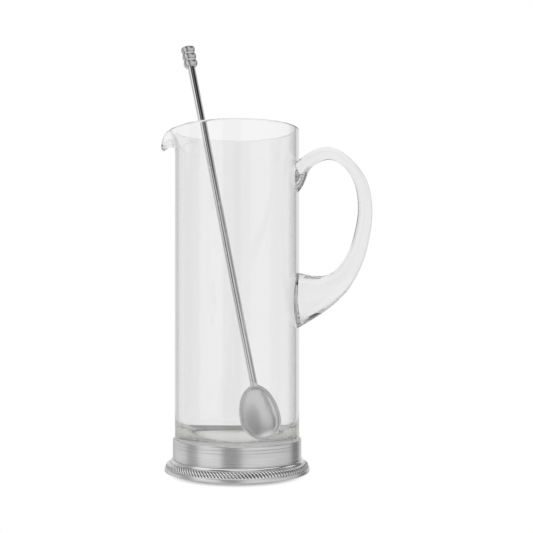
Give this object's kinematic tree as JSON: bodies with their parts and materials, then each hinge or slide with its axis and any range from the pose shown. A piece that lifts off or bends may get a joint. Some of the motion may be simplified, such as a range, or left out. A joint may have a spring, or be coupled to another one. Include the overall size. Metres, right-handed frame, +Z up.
{
  "type": "cocktail pitcher",
  "caption": "Tall cylindrical glass pitcher with a pulled pouring lip, a glass loop handle and a turned metal base with a rope border, with its stirring spoon standing in it.",
  "frame": {"origin": "middle of the foot's underside, on the axis of the glass", "axes": "+Z up along the axis of the glass, +X towards the handle, -X towards the pouring lip"},
  "size_m": [0.1622, 0.1094, 0.3348],
  "materials": {
    "clear_glass": "clear soda-lime glass, blown and fire-polished",
    "satin_pewter": "pewter, turned and brushed to a satin finish",
    "polished_pewter": "pewter, drawn and polished",
    "clear_adhesive": "cured translucent silicone"
  },
  "bodies": {
    "pitcher": {"glass_body": "clear_glass", "glass_handle": "clear_glass", "base_collar": "satin_pewter", "base_foot": "satin_pewter", "rope_border": "satin_pewter", "base_plate": "satin_pewter", "adhesive_bed": "clear_adhesive"},
    "spoon": {"spoon_bowl": "satin_pewter", "spoon_stem": "polished_pewter", "spoon_finial": "polished_pewter"}
  },
  "joints": [
    {"name": "spoon_lift", "type": "slide", "parent": "pitcher", "child": "spoon", "axis": [0, 0, 1], "range_m": [0, 0.26]}
  ]
}
